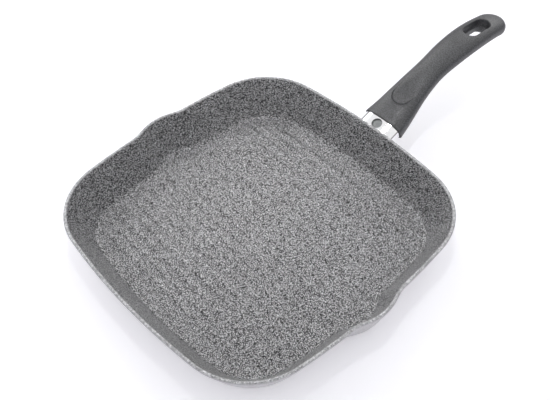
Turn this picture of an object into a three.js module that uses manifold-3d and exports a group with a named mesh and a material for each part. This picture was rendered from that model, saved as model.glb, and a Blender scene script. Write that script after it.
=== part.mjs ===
// A square grill pan: a cast body with a ribbed floor and two pouring lips, a bracket on its wall,
// a pressed steel ferrule with its rivet, and a moulded grip held on the bracket by one screw.
// Millimetres, +Z up. The origin is the middle of the flat base and the handle points along +X.
import * as THREE from 'three';
import { mergeVertices } from 'three/addons/utils/BufferGeometryUtils.js';
import Module from 'manifold-3d';

const wasm = await Module();
wasm.setup();
const radians = THREE.MathUtils.degToRad;

// Fits
const FIT_GAP = 0.3;              // between neighbouring pieces
const CUT_OVERRUN = 6;            // how far a cutting shape runs past the face it opens

// Pan body
const RIM_SIDE = 280;             // across the rim, middle of one side to middle of the other
const SIDE_BOW_RADIUS = 642;      // plan radius of the bowed sides, at the rim
const CORNER_RADIUS = 64.4;       // plan radius of the corners, at the rim
const RIM_HEIGHT = 38;            // base to the top of the rim
const WALL_THICKNESS = 3.2;       // at the rim, from where it grows towards the floor
const OUTSIDE_ANGLE = radians(66);  // between the wall's outside and the base
const INSIDE_ANGLE = radians(61); // between the wall's inside and the floor
const BASE_FILLET = 15;           // outside, between base and wall
const FLOOR_THICKNESS = 4;
const FLOOR_FILLET = 6;           // inside, between floor and wall
const LEAST_CORNER_RADIUS = 6;    // plan radius that the corners keep where they are moved far inwards

// Pouring lips, in the middle of the two sides beside the handle's side: channels from floor to rim
const LIP_REACH = 5.6;            // past the side, at the rim
const LIP_FOOT_REACH = 8.5;       // past the side, at the floor
const LIP_WIDTH = 54;
const LIP_POWER = 0.75;           // 1 is a plain wave, less has a rounder top

// Ribs on the floor, from lip side to lip side
const RIB_PITCH = 9.8;
const RIB_TOP_WIDTH = 2.4;
const RIB_FOOT_WIDTH = 6;
const RIB_HEIGHT = 0.6;
const RIB_MARGIN = 7;             // bare floor between the ribs and the start of the wall's fillet

// Handle axis: the line that bracket, ferrule and the grip's front share
const HANDLE_TILT = radians(20);  // upwards from level
const HANDLE_DROP = 15.3;         // from the top of the rim down to the axis, at the rim's outer edge

// Ferrule: an oval steel sleeve from the wall into the grip's front
const FERRULE_WIDTH = 40.4;
const FERRULE_HEIGHT = 20;
const FERRULE_SHEET = 1.2;
const FERRULE_SHOWN = 17;         // from the rim's outer edge to the grip's front edge
const FERRULE_INSERT = 4;         // inside the grip

// Bracket inside the ferrule: a foot on the wall and a tongue that reaches into the grip
const FOOT_SIDE_ROOM = 6;         // between the foot and the ferrule's inside, at each side
const FOOT_TOP_ROOM = 2.8;        // the same above and below
const FOOT_LENGTH = 2;            // out past the rim's outer edge
const FOOT_TAPER = 3;             // from foot to tongue
const TONGUE_SHOULDER = 3;        // step from the foot's side to the tongue's side
const TONGUE_THICKNESS = 5;       // downwards from the foot's top
const TONGUE_INSERT = 36;         // inside the grip

// Rivet in the ferrule's top, standing on the tongue
const RIVET_DIAMETER = 9.4;
const RIVET_SETBACK = 6.4;        // from the grip's front edge to the rivet's middle
const RIVET_RECESS = 1;           // below the ferrule's top
const RIVET_CHAMFER = 0.6;

// Grip: its midline is a neck arc that turns up, then a long arc that turns down
const NECK_LENGTH = 24;
const NECK_RADIUS = 130;
const BEND_RADIUS = 184;
const GRIP_LIP = 1.35;            // grip material around the ferrule, at the front edge
const NECK = { length: 21, width: 37.9, height: 19 };      // length: along the midline from the
const THROAT = { length: 22, width: 31.5, height: 17.5 };  // section before, first from the front edge
const WAIST = { length: 25, width: 27.5, height: 16.5 };
const BELLY = { length: 29, width: 30.5, height: 16.5 };
const PALM = { length: 27, width: 31.8, height: 16 };
const TAIL = { length: 31.5, width: 30.2, height: 15 };
const TAIL_ROUND = 15;            // length of the rounded end, after the tail section
const TAIL_END_HEIGHT = 9;        // at the very end

// Thumb rest: a shallow scoop in the grip's top, deepest at its round front edge
const SCOOP_FRONT = 21;           // from the grip's front edge
const SCOOP_WIDTH = 21;
const SCOOP_LENGTH = 36;
const SCOOP_DEPTH = 1.1;

// Hanging slot through the grip's tail, with a ledge halfway down
const SLOT_SETBACK = 37;          // from the grip's end to the slot's middle
const SLOT_LENGTH = 32;
const SLOT_WIDTH = 15.5;
const SLOT_LEDGE = 1.8;

// Screw from the grip's underside into the tongue, with its two washers
const SCREW_SETBACK = 13;         // from the tongue's end to the screw's middle
const SCREW_DIAMETER = 5;
const SCREW_WEB = 2.5;            // grip material between the tongue and the washers
const HEAD_DIAMETER = 9.2;
const HEAD_HEIGHT = 2.6;
const CROSS_LENGTH = 5;
const CROSS_WIDTH = 1.1;
const CROSS_DEPTH = 1.5;
const WASHER_DIAMETER = 10;
const WASHER_THICKNESS = 0.8;
const SPRING_DIAMETER = 9;
const SPRING_THICKNESS = 1.1;
const SPRING_SLIT = radians(18);

// Smoothness
const CORNER_STEPS = 10;
const PLAIN_SIDE_STEPS = 8;
const LIP_SIDE_STEPS = 28;
const LIP_CROWDING = 0.5;         // 1 spreads a lip side's points evenly, less crowds them into the lip
const FILLET_STEPS = 5;
const RIM_STEPS = 6;
const SECTION_STEPS = 40;
const SECTION_POWER = 2.5;        // 2 is an ellipse, more is squarer
const BAR_POWER = 8;              // nearly a rectangle, for the bracket
const GRIP_STEPS = 26;
const TAIL_STEPS = 5;
const TAIL_LAST_STEP = 0.5;       // share of a step that the flat end stops short of the full round
const ROUND_STEPS = 32;

// Closed solids from rings of points, and back to a mesh geometry

// Skin over rings that all have the same number of points, with a flat fan over each end.
// Seen against the direction in which the rings follow each other, each ring runs anticlockwise.
function loft(rings) {
  const count = rings[0].length;
  const corners = rings.flat();
  const faces = [];
  for (let ring = 0; ring + 1 < rings.length; ring += 1) {
    for (let point = 0; point < count; point += 1) {
      const next = (point + 1) % count;
      const here = ring * count;
      const there = here + count;
      faces.push(here + point, here + next, there + point);
      faces.push(here + next, there + next, there + point);
    }
  }
  const last = (rings.length - 1) * count;
  const startMiddle = corners.push(middleOf(rings[0])) - 1;
  const endMiddle = corners.push(middleOf(rings[rings.length - 1])) - 1;
  for (let point = 0; point < count; point += 1) {
    const next = (point + 1) % count;
    faces.push(startMiddle, next, point);
    faces.push(endMiddle, last + point, last + next);
  }
  const geometry = new THREE.BufferGeometry().setFromPoints(corners);
  geometry.setIndex(faces);
  return geometry;
}

function middleOf(points) {
  const sum = points.reduce((total, point) => total.add(point), new THREE.Vector3());
  return sum.divideScalar(points.length);
}

function solidOf(geometry) {
  const bare = geometry.clone();
  bare.deleteAttribute('normal');
  bare.deleteAttribute('uv');
  const merged = mergeVertices(bare);
  return new wasm.Manifold(new wasm.Mesh({
    numProp: 3,
    vertProperties: Float32Array.from(merged.attributes.position.array),
    triVerts: Uint32Array.from(merged.index.array),
  }));
}

function geometryOf(solid) {
  const mesh = solid.getMesh();
  const geometry = new THREE.BufferGeometry();
  geometry.setAttribute('position', new THREE.BufferAttribute(mesh.vertProperties, mesh.numProp));
  geometry.setIndex(new THREE.BufferAttribute(mesh.triVerts, 1));
  geometry.computeVertexNormals();
  return geometry;
}

function piece(name, geometry, material) {
  const mesh = new THREE.Mesh(geometry, material);
  mesh.name = name;
  return mesh;
}

// Upright cylinder on the line x = `along`, from `low` to `high`
function post(diameter, along, low, high) {
  const geometry = new THREE.CylinderGeometry(diameter / 2, diameter / 2, high - low, ROUND_STEPS);
  geometry.rotateX(Math.PI / 2);
  geometry.translate(along, 0, (low + high) / 2);
  return geometry;
}

// Pan body

// Arcs of the plan outline, moved inwards by `inset`. Each bowed side has its centre `sideCentre` beyond the
// pan's middle, each corner has its centre at `corner` in x and in y, and they meet at the angle `turn`.
function planLayout(inset) {
  const sideCentre = SIDE_BOW_RADIUS - RIM_SIDE / 2;
  const sideRadius = SIDE_BOW_RADIUS - inset;
  const cornerRadius = Math.max(CORNER_RADIUS - inset, LEAST_CORNER_RADIUS);
  const reach = sideRadius - cornerRadius;
  const corner = (Math.sqrt(2 * reach ** 2 - sideCentre ** 2) - sideCentre) / 2;
  const turn = Math.atan2(corner, corner + sideCentre);
  return { sideCentre, sideRadius, corner, cornerRadius, turn };
}

// One bowed side and the corner after it, for the side that faces +X
function sideAndCorner(inset, lip, steps, crowding) {
  const { sideCentre, sideRadius, corner, cornerRadius, turn } = planLayout(inset);
  const points = [];
  for (let step = 0; step < steps; step += 1) {
    const even = (2 * step) / steps - 1;
    const angle = turn * (crowding * even + (1 - crowding) * even ** 3);
    const across = sideRadius * Math.sin(angle);
    const swell = Math.max(0, 1 - Math.abs(across) / (LIP_WIDTH / 2));
    const push = (lip * (1 - Math.cos(Math.PI * swell ** LIP_POWER))) / 2;
    points.push([sideRadius * Math.cos(angle) - sideCentre + push, across]);
  }
  for (let step = 0; step < CORNER_STEPS; step += 1) {
    const angle = turn + ((Math.PI / 2 - 2 * turn) * step) / CORNER_STEPS;
    points.push([corner + cornerRadius * Math.cos(angle), corner + cornerRadius * Math.sin(angle)]);
  }
  return points;
}

// How far the lips reach past the side at the height `level`: they start at the base
function lipReach(level) {
  const upwards = (level - FLOOR_THICKNESS) / (RIM_HEIGHT - FLOOR_THICKNESS);
  const reach = THREE.MathUtils.lerp(LIP_FOOT_REACH, LIP_REACH, upwards);
  return reach * THREE.MathUtils.smoothstep(level, 0, FLOOR_THICKNESS);
}

// Plan outline moved inwards by `inset`, at the height `level`
function planRing(inset, level) {
  const ring = [];
  for (let quarter = 0; quarter < 4; quarter += 1) {
    const hasLip = quarter % 2 === 1;
    const side = hasLip
      ? sideAndCorner(inset, lipReach(level), LIP_SIDE_STEPS, LIP_CROWDING)
      : sideAndCorner(inset, 0, PLAIN_SIDE_STEPS, 1);
    const turned = new THREE.Matrix4().makeRotationZ((quarter * Math.PI) / 2);
    side.forEach(([x, y]) => ring.push(new THREE.Vector3(x, y, level).applyMatrix4(turned)));
  }
  return ring;
}

// Arc of a wall section as [inset, level] pairs, from angle `start` to angle `end`
function sectionArc(inset, level, radius, start, end, steps) {
  return Array.from({ length: steps + 1 }, (_, step) => {
    const angle = start + ((end - start) * step) / steps;
    return [inset + radius * Math.cos(angle), level + radius * Math.sin(angle)];
  });
}

// Wall section from the edge of the flat base, up the outside, over the rim and down to the floor
function wallSection() {
  const rimRadius = WALL_THICKNESS / 2;
  const rimLevel = RIM_HEIGHT - rimRadius;
  const outside = rimRadius - rimRadius * Math.sin(OUTSIDE_ANGLE);
  const outsideDrop = rimLevel - rimRadius * Math.cos(OUTSIDE_ANGLE);
  const outsideFoot = outside + outsideDrop / Math.tan(OUTSIDE_ANGLE);
  const inside = rimRadius + rimRadius * Math.sin(INSIDE_ANGLE);
  const insideDrop = rimLevel + rimRadius * Math.cos(INSIDE_ANGLE) - FLOOR_THICKNESS;
  const insideFoot = inside + insideDrop / Math.tan(INSIDE_ANGLE);
  const baseEdge = outsideFoot + BASE_FILLET * Math.tan(OUTSIDE_ANGLE / 2);
  const floorEdge = insideFoot + FLOOR_FILLET * Math.tan(INSIDE_ANGLE / 2);
  const down = -Math.PI / 2;
  const outer = sectionArc(baseEdge, BASE_FILLET, BASE_FILLET, down, down - OUTSIDE_ANGLE, FILLET_STEPS);
  const rim = sectionArc(
    rimRadius, rimLevel, rimRadius, down - OUTSIDE_ANGLE, down - Math.PI - INSIDE_ANGLE, RIM_STEPS);
  const inner = sectionArc(
    floorEdge, FLOOR_THICKNESS + FLOOR_FILLET, FLOOR_FILLET, down - INSIDE_ANGLE, down, FILLET_STEPS);
  return { outer, rim, inner, baseEdge, floorEdge };
}

// Half the length of the plan outline at `across`, for an outline moved inwards by `inset`
function halfLengthAt(across, inset) {
  const { sideCentre, sideRadius, corner, cornerRadius, turn } = planLayout(inset);
  const out = Math.abs(across);
  if (out <= corner + cornerRadius * Math.sin(turn)) {
    return Math.sqrt(sideRadius ** 2 - out ** 2) - sideCentre;
  }
  if (out <= corner + cornerRadius * Math.cos(turn)) {
    return corner + Math.sqrt(cornerRadius ** 2 - (out - corner) ** 2);
  }
  return Math.sqrt(sideRadius ** 2 - (out + sideCentre) ** 2);
}

// One rib, as a bar that reaches down to the middle of the floor
function rib(middle, length) {
  const sunk = FLOOR_THICKNESS / 2;
  const outline = new THREE.Shape([
    new THREE.Vector2(-RIB_FOOT_WIDTH / 2, -sunk),
    new THREE.Vector2(RIB_FOOT_WIDTH / 2, -sunk),
    new THREE.Vector2(RIB_FOOT_WIDTH / 2, 0),
    new THREE.Vector2(RIB_TOP_WIDTH / 2, RIB_HEIGHT),
    new THREE.Vector2(-RIB_TOP_WIDTH / 2, RIB_HEIGHT),
    new THREE.Vector2(-RIB_FOOT_WIDTH / 2, 0),
  ]);
  const bar = new THREE.ExtrudeGeometry(outline, { depth: length, bevelEnabled: false });
  bar.rotateX(Math.PI / 2);
  bar.translate(middle, length / 2, FLOOR_THICKNESS);
  return bar;
}

function panBody() {
  const { outer, rim, inner, floorEdge } = wallSection();
  const rings = [...outer, ...rim, ...inner].map(([inset, level]) => planRing(inset, level));
  const ribInset = floorEdge + RIB_MARGIN;
  const ribsEachWay = Math.floor((RIM_SIDE / 2 - ribInset - RIB_FOOT_WIDTH / 2) / RIB_PITCH);
  let body = solidOf(loft(rings));
  for (let place = -ribsEachWay; place <= ribsEachWay; place += 1) {
    const middle = place * RIB_PITCH;
    body = body.add(solidOf(rib(middle, 2 * halfLengthAt(middle, ribInset))));
  }
  return geometryOf(body);
}

// The space that the pan's outside takes up, with the fit gap around it: it trims what meets the wall
function wallCutter() {
  const { outer, rim, baseEdge } = wallSection();
  const outside = [...outer, ...rim.slice(0, RIM_STEPS / 2 + 1)];
  const rings = outside.map(([inset, level]) => planRing(inset - FIT_GAP, level));
  const below = planRing(baseEdge, -RIM_HEIGHT);
  return loft([below, ...rings]);
}

// Handle pieces, in the handle's own frame: +X along its axis, origin below the rim's outer edge

// Oval or nearly rectangular section, square to the axis
function section(width, height, power, place) {
  const round = (value) => Math.sign(value) * Math.abs(value) ** (2 / power);
  return Array.from({ length: SECTION_STEPS }, (_, step) => {
    const angle = (2 * Math.PI * step) / SECTION_STEPS;
    return place((width / 2) * round(Math.cos(angle)), (height / 2) * round(Math.sin(angle)));
  });
}

// Section at one place on the axis, lifted by `rise`
function barRing(width, height, power, along, rise) {
  return section(width, height, power, (y, z) => new THREE.Vector3(along, y, z + rise));
}

// Straight bar between two places on the axis
function bar(width, height, power, start, end, rise) {
  return loft([barRing(width, height, power, start, rise), barRing(width, height, power, end, rise)]);
}

// Place on the axis, under the pan, from which even the ferrule's lower edge has to cross the wall
function handleRoot() {
  const lean = (FERRULE_HEIGHT / 2) * Math.sin(HANDLE_TILT);
  return -(wallSection().baseEdge + lean) / Math.cos(HANDLE_TILT);
}

const footWidth = FERRULE_WIDTH - 2 * (FERRULE_SHEET + FOOT_SIDE_ROOM);
const footHeight = FERRULE_HEIGHT - 2 * (FERRULE_SHEET + FOOT_TOP_ROOM);
const tongueWidth = footWidth - 2 * TONGUE_SHOULDER;
const tongueTop = footHeight / 2;
const tongueMiddle = tongueTop - TONGUE_THICKNESS / 2;
const tongueBottom = tongueTop - TONGUE_THICKNESS;
const tongueEnd = FERRULE_SHOWN + TONGUE_INSERT;
const screwAlong = tongueEnd - SCREW_SETBACK;
const screwHole = SCREW_DIAMETER + 2 * FIT_GAP;
const screwSeat = tongueBottom - FIT_GAP - SCREW_WEB;
const rivetAlong = FERRULE_SHOWN - RIVET_SETBACK;

function bracket(wall) {
  const rings = [
    barRing(footWidth, footHeight, BAR_POWER, handleRoot(), 0),
    barRing(footWidth, footHeight, BAR_POWER, FOOT_LENGTH, 0),
    barRing(tongueWidth, TONGUE_THICKNESS, BAR_POWER, FOOT_LENGTH + FOOT_TAPER, tongueMiddle),
    barRing(tongueWidth, TONGUE_THICKNESS, BAR_POWER, tongueEnd, tongueMiddle),
  ];
  const threadHole = post(screwHole, screwAlong, tongueBottom - CUT_OVERRUN, tongueTop + CUT_OVERRUN);
  return geometryOf(solidOf(loft(rings)).subtract(wall).subtract(solidOf(threadHole)));
}

function ferrule(wall) {
  const end = FERRULE_SHOWN + FERRULE_INSERT;
  const skin = bar(FERRULE_WIDTH, FERRULE_HEIGHT, SECTION_POWER, handleRoot(), end, 0);
  const bore = bar(
    FERRULE_WIDTH - 2 * FERRULE_SHEET, FERRULE_HEIGHT - 2 * FERRULE_SHEET, SECTION_POWER,
    handleRoot() - CUT_OVERRUN, end + CUT_OVERRUN, 0);
  const rivetHole = post(RIVET_DIAMETER + 2 * FIT_GAP, rivetAlong, 0, FERRULE_HEIGHT / 2 + CUT_OVERRUN);
  return geometryOf(solidOf(skin).subtract(solidOf(bore)).subtract(wall).subtract(solidOf(rivetHole)));
}

function ferruleRivet() {
  const low = tongueTop + FIT_GAP;
  const high = FERRULE_HEIGHT / 2 - RIVET_RECESS;
  const radius = RIVET_DIAMETER / 2;
  const profile = [
    new THREE.Vector2(0, low),
    new THREE.Vector2(radius, low),
    new THREE.Vector2(radius, high - RIVET_CHAMFER),
    new THREE.Vector2(radius - RIVET_CHAMFER, high),
    new THREE.Vector2(0, high),
  ];
  const geometry = new THREE.LatheGeometry(profile, ROUND_STEPS);
  geometry.rotateX(Math.PI / 2);
  geometry.translate(rivetAlong, 0, 0);
  return geometryOf(solidOf(geometry));
}

// Place on the grip's midline, `along` millimetres from its front edge, and its upward angle there
function midline(along) {
  const neckTurn = NECK_LENGTH / NECK_RADIUS;
  if (along <= NECK_LENGTH) {
    const turn = along / NECK_RADIUS;
    const x = FERRULE_SHOWN + NECK_RADIUS * Math.sin(turn);
    return { x, z: NECK_RADIUS * (1 - Math.cos(turn)), angle: turn };
  }
  const angle = neckTurn - (along - NECK_LENGTH) / BEND_RADIUS;
  const neck = midline(NECK_LENGTH);
  return {
    x: neck.x + BEND_RADIUS * (Math.sin(neckTurn) - Math.sin(angle)),
    z: neck.z + BEND_RADIUS * (Math.cos(angle) - Math.cos(neckTurn)),
    angle,
  };
}

// Frame at a place on the midline: x along the grip, z square to it
function midlineFrame(along) {
  const { x, z, angle } = midline(along);
  return new THREE.Matrix4().makeRotationY(-angle).setPosition(x, 0, z);
}

function gripRing(along, width, height, sink) {
  const frame = midlineFrame(along);
  const place = (y, z) => new THREE.Vector3(0, y, z > 0 ? z - sink : z).applyMatrix4(frame);
  return section(width, height, SECTION_POWER, place);
}

const frontWidth = FERRULE_WIDTH + 2 * (FIT_GAP + GRIP_LIP);
const frontHeight = FERRULE_HEIGHT + 2 * (FIT_GAP + GRIP_LIP);
const gripSections = [NECK, THROAT, WAIST, BELLY, PALM, TAIL];
const tailStart = gripSections.reduce((total, { length }) => total + length, 0);
const gripLength = tailStart + TAIL_ROUND;

// Outside of the grip. `sinkAt` lowers its upper half, which gives the bottom of the thumb rest.
function gripSkin(sinkAt) {
  const stations = [new THREE.Vector3(0, frontWidth, frontHeight)];
  gripSections.forEach(({ length, width, height }, index) => {
    stations.push(new THREE.Vector3(stations[index].x + length, width, height));
  });
  const sizes = new THREE.CatmullRomCurve3(stations);
  const rings = [];
  for (let step = 0; step <= GRIP_STEPS; step += 1) {
    const { x: along, y: width, z: height } = sizes.getPointAt(step / GRIP_STEPS);
    rings.push(gripRing(along, width, height, sinkAt(along)));
  }
  for (let step = 1; step <= TAIL_STEPS; step += 1) {
    const turn = (Math.PI / 2) * (step / (TAIL_STEPS + TAIL_LAST_STEP));
    const along = tailStart + TAIL_ROUND * Math.sin(turn);
    const left = Math.sqrt(Math.cos(turn));
    const height = TAIL_END_HEIGHT + (TAIL.height - TAIL_END_HEIGHT) * left;
    rings.push(gripRing(along, TAIL.width * left, height, 0));
  }
  return loft(rings);
}

// Egg-shaped prism over the thumb rest, less the grip as it is under the rest
function thumbScoop() {
  const round = SCOOP_WIDTH / 2;
  const widest = midline(SCOOP_FRONT + round).x;
  const outline = new THREE.Shape();
  outline.absellipse(widest, 0, round, round, Math.PI / 2, (3 * Math.PI) / 2);
  outline.absellipse(widest, 0, SCOOP_LENGTH - round, round, (3 * Math.PI) / 2, (5 * Math.PI) / 2);
  const prism = new THREE.ExtrudeGeometry(
    outline, { depth: frontHeight, bevelEnabled: false, curveSegments: SECTION_STEPS / 2 });
  const sinkAt = (along) => SCOOP_DEPTH * (1 - THREE.MathUtils.smoothstep(
    along, SCOOP_FRONT + round, SCOOP_FRONT + SCOOP_LENGTH));
  return solidOf(prism).subtract(solidOf(gripSkin(sinkAt)));
}

// Prism with round ends, upright in the midline's frame at the slot
function slotPrism(length, width, low, high) {
  const straight = (length - width) / 2;
  const outline = new THREE.Shape();
  outline.absarc(straight, 0, width / 2, -Math.PI / 2, Math.PI / 2);
  outline.absarc(-straight, 0, width / 2, Math.PI / 2, (3 * Math.PI) / 2);
  const prism = new THREE.ExtrudeGeometry(
    outline, { depth: high - low, bevelEnabled: false, curveSegments: ROUND_STEPS / 2 });
  prism.translate(0, 0, low);
  prism.applyMatrix4(midlineFrame(gripLength - SLOT_SETBACK));
  return solidOf(prism);
}

function handleGrip() {
  const reach = PALM.height / 2 + CUT_OVERRUN;
  const upperSlot = slotPrism(SLOT_LENGTH, SLOT_WIDTH, 0, reach);
  const lowerSlot = slotPrism(SLOT_LENGTH - 2 * SLOT_LEDGE, SLOT_WIDTH - 2 * SLOT_LEDGE, -reach, reach);
  const ferruleSeat = bar(
    FERRULE_WIDTH + 2 * FIT_GAP, FERRULE_HEIGHT + 2 * FIT_GAP, SECTION_POWER,
    FERRULE_SHOWN - CUT_OVERRUN, FERRULE_SHOWN + FERRULE_INSERT + FIT_GAP, 0);
  const tongueSocket = bar(
    tongueWidth + 2 * FIT_GAP, TONGUE_THICKNESS + 2 * FIT_GAP, BAR_POWER,
    FERRULE_SHOWN, tongueEnd + FIT_GAP, tongueMiddle);
  const widest = Math.max(WASHER_DIAMETER, SPRING_DIAMETER, HEAD_DIAMETER);
  const headPocket = post(widest + 2 * FIT_GAP, screwAlong, -frontHeight, screwSeat);
  const shankHole = post(screwHole, screwAlong, screwSeat - CUT_OVERRUN, tongueMiddle);
  const grip = solidOf(gripSkin(() => 0))
    .subtract(thumbScoop())
    .subtract(upperSlot)
    .subtract(lowerSlot)
    .subtract(solidOf(ferruleSeat))
    .subtract(solidOf(tongueSocket))
    .subtract(solidOf(headPocket))
    .subtract(solidOf(shankHole));
  return geometryOf(grip);
}

// Fastening: from the seat in the grip downwards come the flat washer, the spring washer and the head

const washerTop = screwSeat - FIT_GAP;
const springTop = washerTop - WASHER_THICKNESS - FIT_GAP;
const headTop = springTop - SPRING_THICKNESS - FIT_GAP;

function handleScrew() {
  const low = headTop - HEAD_HEIGHT;
  const head = post(HEAD_DIAMETER, screwAlong, low, headTop);
  const shank = post(SCREW_DIAMETER, screwAlong, low + HEAD_HEIGHT / 2, tongueTop - FIT_GAP);
  let screw = solidOf(head).add(solidOf(shank));
  for (const [length, width] of [[CROSS_LENGTH, CROSS_WIDTH], [CROSS_WIDTH, CROSS_LENGTH]]) {
    const slot = new THREE.BoxGeometry(length, width, 2 * CROSS_DEPTH);
    slot.translate(screwAlong, 0, low);
    screw = screw.subtract(solidOf(slot));
  }
  return geometryOf(screw);
}

// Ring around the screw, open by `slit` radians
function washer(diameter, thickness, top, slit) {
  const outline = new THREE.Shape();
  outline.absarc(0, 0, diameter / 2, slit / 2, 2 * Math.PI - slit / 2);
  if (slit > 0) {
    outline.absarc(0, 0, screwHole / 2, 2 * Math.PI - slit / 2, slit / 2, true);
  } else {
    outline.holes.push(new THREE.Path().absarc(0, 0, screwHole / 2, 0, 2 * Math.PI));
  }
  const ring = new THREE.ExtrudeGeometry(
    outline, { depth: thickness, bevelEnabled: false, curveSegments: ROUND_STEPS });
  ring.translate(screwAlong, 0, top - thickness);
  return geometryOf(solidOf(ring));
}

// Finishes

function finish(color, roughness, metalness) {
  return new THREE.MeshStandardMaterial({ color, roughness, metalness });
}

const stoneCoat = () => finish(0x8c8c8f, 0.6, 0);
const castAluminium = () => finish(0xa4a6a8, 0.45, 1);
const polishedSteel = () => finish(0xe2e2e4, 0.12, 1);
const greyRivet = () => finish(0x80837f, 0.5, 0.6);
const mouldedGrip = () => finish(0x5b5b5e, 0.55, 0);
const zincSteel = () => finish(0xb4b6b8, 0.35, 1);

// Assembly

const handle = new THREE.Group();
handle.position.set(RIM_SIDE / 2, 0, RIM_HEIGHT - HANDLE_DROP);
handle.rotation.y = -HANDLE_TILT;
handle.updateMatrixWorld();
const wall = solidOf(wallCutter().applyMatrix4(handle.matrixWorld.clone().invert()));

handle.add(
  piece('handle_bracket', bracket(wall), castAluminium()),
  piece('ferrule', ferrule(wall), polishedSteel()),
  piece('ferrule_rivet', ferruleRivet(), greyRivet()),
  piece('handle_grip', handleGrip(), mouldedGrip()),
  piece('handle_screw', handleScrew(), zincSteel()),
  piece('flat_washer', washer(WASHER_DIAMETER, WASHER_THICKNESS, washerTop, 0), zincSteel()),
  piece('spring_washer', washer(SPRING_DIAMETER, SPRING_THICKNESS, springTop, SPRING_SLIT), zincSteel()),
);

const grillPan = new THREE.Group();
grillPan.add(piece('pan_body', panBody(), stoneCoat()), handle);

export default grillPan;
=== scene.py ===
import math

import bpy
from mathutils import Matrix, Vector


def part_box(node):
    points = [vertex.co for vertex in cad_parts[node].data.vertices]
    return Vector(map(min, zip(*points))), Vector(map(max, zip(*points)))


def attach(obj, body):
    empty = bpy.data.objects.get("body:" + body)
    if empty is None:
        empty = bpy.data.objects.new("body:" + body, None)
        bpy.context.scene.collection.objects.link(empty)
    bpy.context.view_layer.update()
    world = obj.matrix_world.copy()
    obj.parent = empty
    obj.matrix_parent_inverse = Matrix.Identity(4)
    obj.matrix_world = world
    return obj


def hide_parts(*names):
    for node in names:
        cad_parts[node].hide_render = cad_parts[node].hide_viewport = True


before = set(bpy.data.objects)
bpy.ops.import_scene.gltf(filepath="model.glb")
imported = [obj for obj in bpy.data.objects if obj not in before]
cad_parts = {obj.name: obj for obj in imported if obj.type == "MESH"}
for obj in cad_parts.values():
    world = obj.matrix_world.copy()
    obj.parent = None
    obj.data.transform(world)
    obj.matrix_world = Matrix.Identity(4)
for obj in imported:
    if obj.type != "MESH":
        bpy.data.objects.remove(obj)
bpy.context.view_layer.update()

MM = 0.001

# Pan body, in millimetres
SIDE_BOW_RADIUS = 642
CORNER_RADIUS = 64.4
WALL_THICKNESS = 3.2
OUTSIDE_ANGLE = math.radians(66)
INSIDE_ANGLE = math.radians(61)
BASE_FILLET = 15
FLOOR_THICKNESS = 4
FLOOR_FILLET = 6
LIP_REACH = 5.6          # how far a lip stands out at the rim
LIP_FOOT_REACH = 8.5     # and at the floor
LIP_WIDTH = 54
LIP_POWER = 0.75         # below 1, a lip's middle is broader
RIB_PITCH = 9.8
RIB_HEIGHT = 0.6
RIB_CREST = 1.2          # width of a rib's flat top
RIB_FOOT = 7.0           # width of a rib where its flanks run out into the floor
RIB_MARGIN = 7           # from the floor's edge to the ribs' ends
RIB_END = 2.4            # length over which a rib's end falls to the floor

# Mesh steps of the pan body
FILLET_STEPS = 12
RIM_STEPS = 16
WALL_STEPS = 6
SIDE_STEPS = 12
CORNER_STEPS = 8
FLANK_STEPS = 4
RIB_END_STEPS = 6
FLOOR_STEPS = 7
MARGIN_SHARES = (0.35, 0.7)
OUTSIDE_START = 5        # rings from the rim's top to where the plain outside begins

# Handle, in millimetres and in its own frame: x along the axis, z up from it
HANDLE_TILT = math.radians(20)
HANDLE_DROP = 15.3
FIT_GAP = 0.3
FERRULE_WIDTH = 40.4
FERRULE_HEIGHT = 20
FERRULE_SHEET = 1.2
FERRULE_SHOWN = 17
FERRULE_INSERT = 4
RIVET_DIAMETER = 9.4
RIVET_SETBACK = 6.4
RIVET_RECESS = 1
RIVET_EDGE = 0.6         # radius of its rounded top edge
RIVET_CHAMFER = 0.2
FOOT_HEIGHT = 12
TONGUE_WIDTH = 20
TONGUE_THICKNESS = 5
TONGUE_INSERT = 36
SCREW_SETBACK = 13
SCREW_DIAMETER = 5
SCREW_WEB = 2.5          # the grip's material between the washers and the tongue
HEAD_DIAMETER = 9.2
HEAD_HEIGHT = 2.6
HEAD_DOME = 1.1
HEAD_FLAT_TURN = math.radians(12)    # where the head's dome rises from its flat middle
THREAD_PITCH = 0.8
THREAD_DEPTH = 0.35
SCREW_END_CHAMFER = 0.5
RECESS_MOUTH = (2.5, 0.6)    # half the cross recess's length and width at its mouth
RECESS_BOTTOM = (1.2, 0.4)   # and at its bottom
RECESS_DEPTH = 1.5
RECESS_OVERSHOOT = 1
WASHER_DIAMETER = 10
WASHER_THICKNESS = 0.8
SPRING_THICKNESS = 1.1
REACH_SEARCH = (-40.0, 10.0)     # places on the axis between which it meets the wall
REACH_HALVINGS = 40

# Grip: NECK to TAIL are sections along its midline as (distance from the front edge, width, height)
GRIP_LIP = 1.35          # wall of the grip's front edge round the ferrule
NECK_LENGTH = 24
NECK_RADIUS = 130
BEND_RADIUS = 184
NECK = (21, 37.9, 19)
THROAT = (43, 31.5, 17.5)
WAIST = (68, 27.5, 16.5)
BELLY = (97, 30.5, 16.5)
PALM = (124, 31.8, 16)
TAIL = (155.5, 30.2, 15)
TAIL_ROUND = 15
TAIL_END_HEIGHT = 9
TAIL_LAST_TURN = math.radians(86)    # the tail's last ring, just short of its end
TAIL_POWER = 2.4         # roundness of an outline: 2 is an ellipse, more is squarer
TOP_POWER = 2.4
UNDERSIDE_POWER = 2.8
FERRULE_POWER = 2.5
TONGUE_POWER = 8
TOP_CROWDING = 0.8       # how far a grip section's points crowd towards its top
FRONT_WIDTH_SHARE = 0.988    # size of the ring at the very front beside the full section
FRONT_HEIGHT_SHARE = 0.978
FRONT_EDGE = 0.5         # length over which the front edge widens to the full section
SCOOP_FRONT = 21
SCOOP_WIDTH = 21
SCOOP_LENGTH = 36
SCOOP_DEPTH = 1.1
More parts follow.
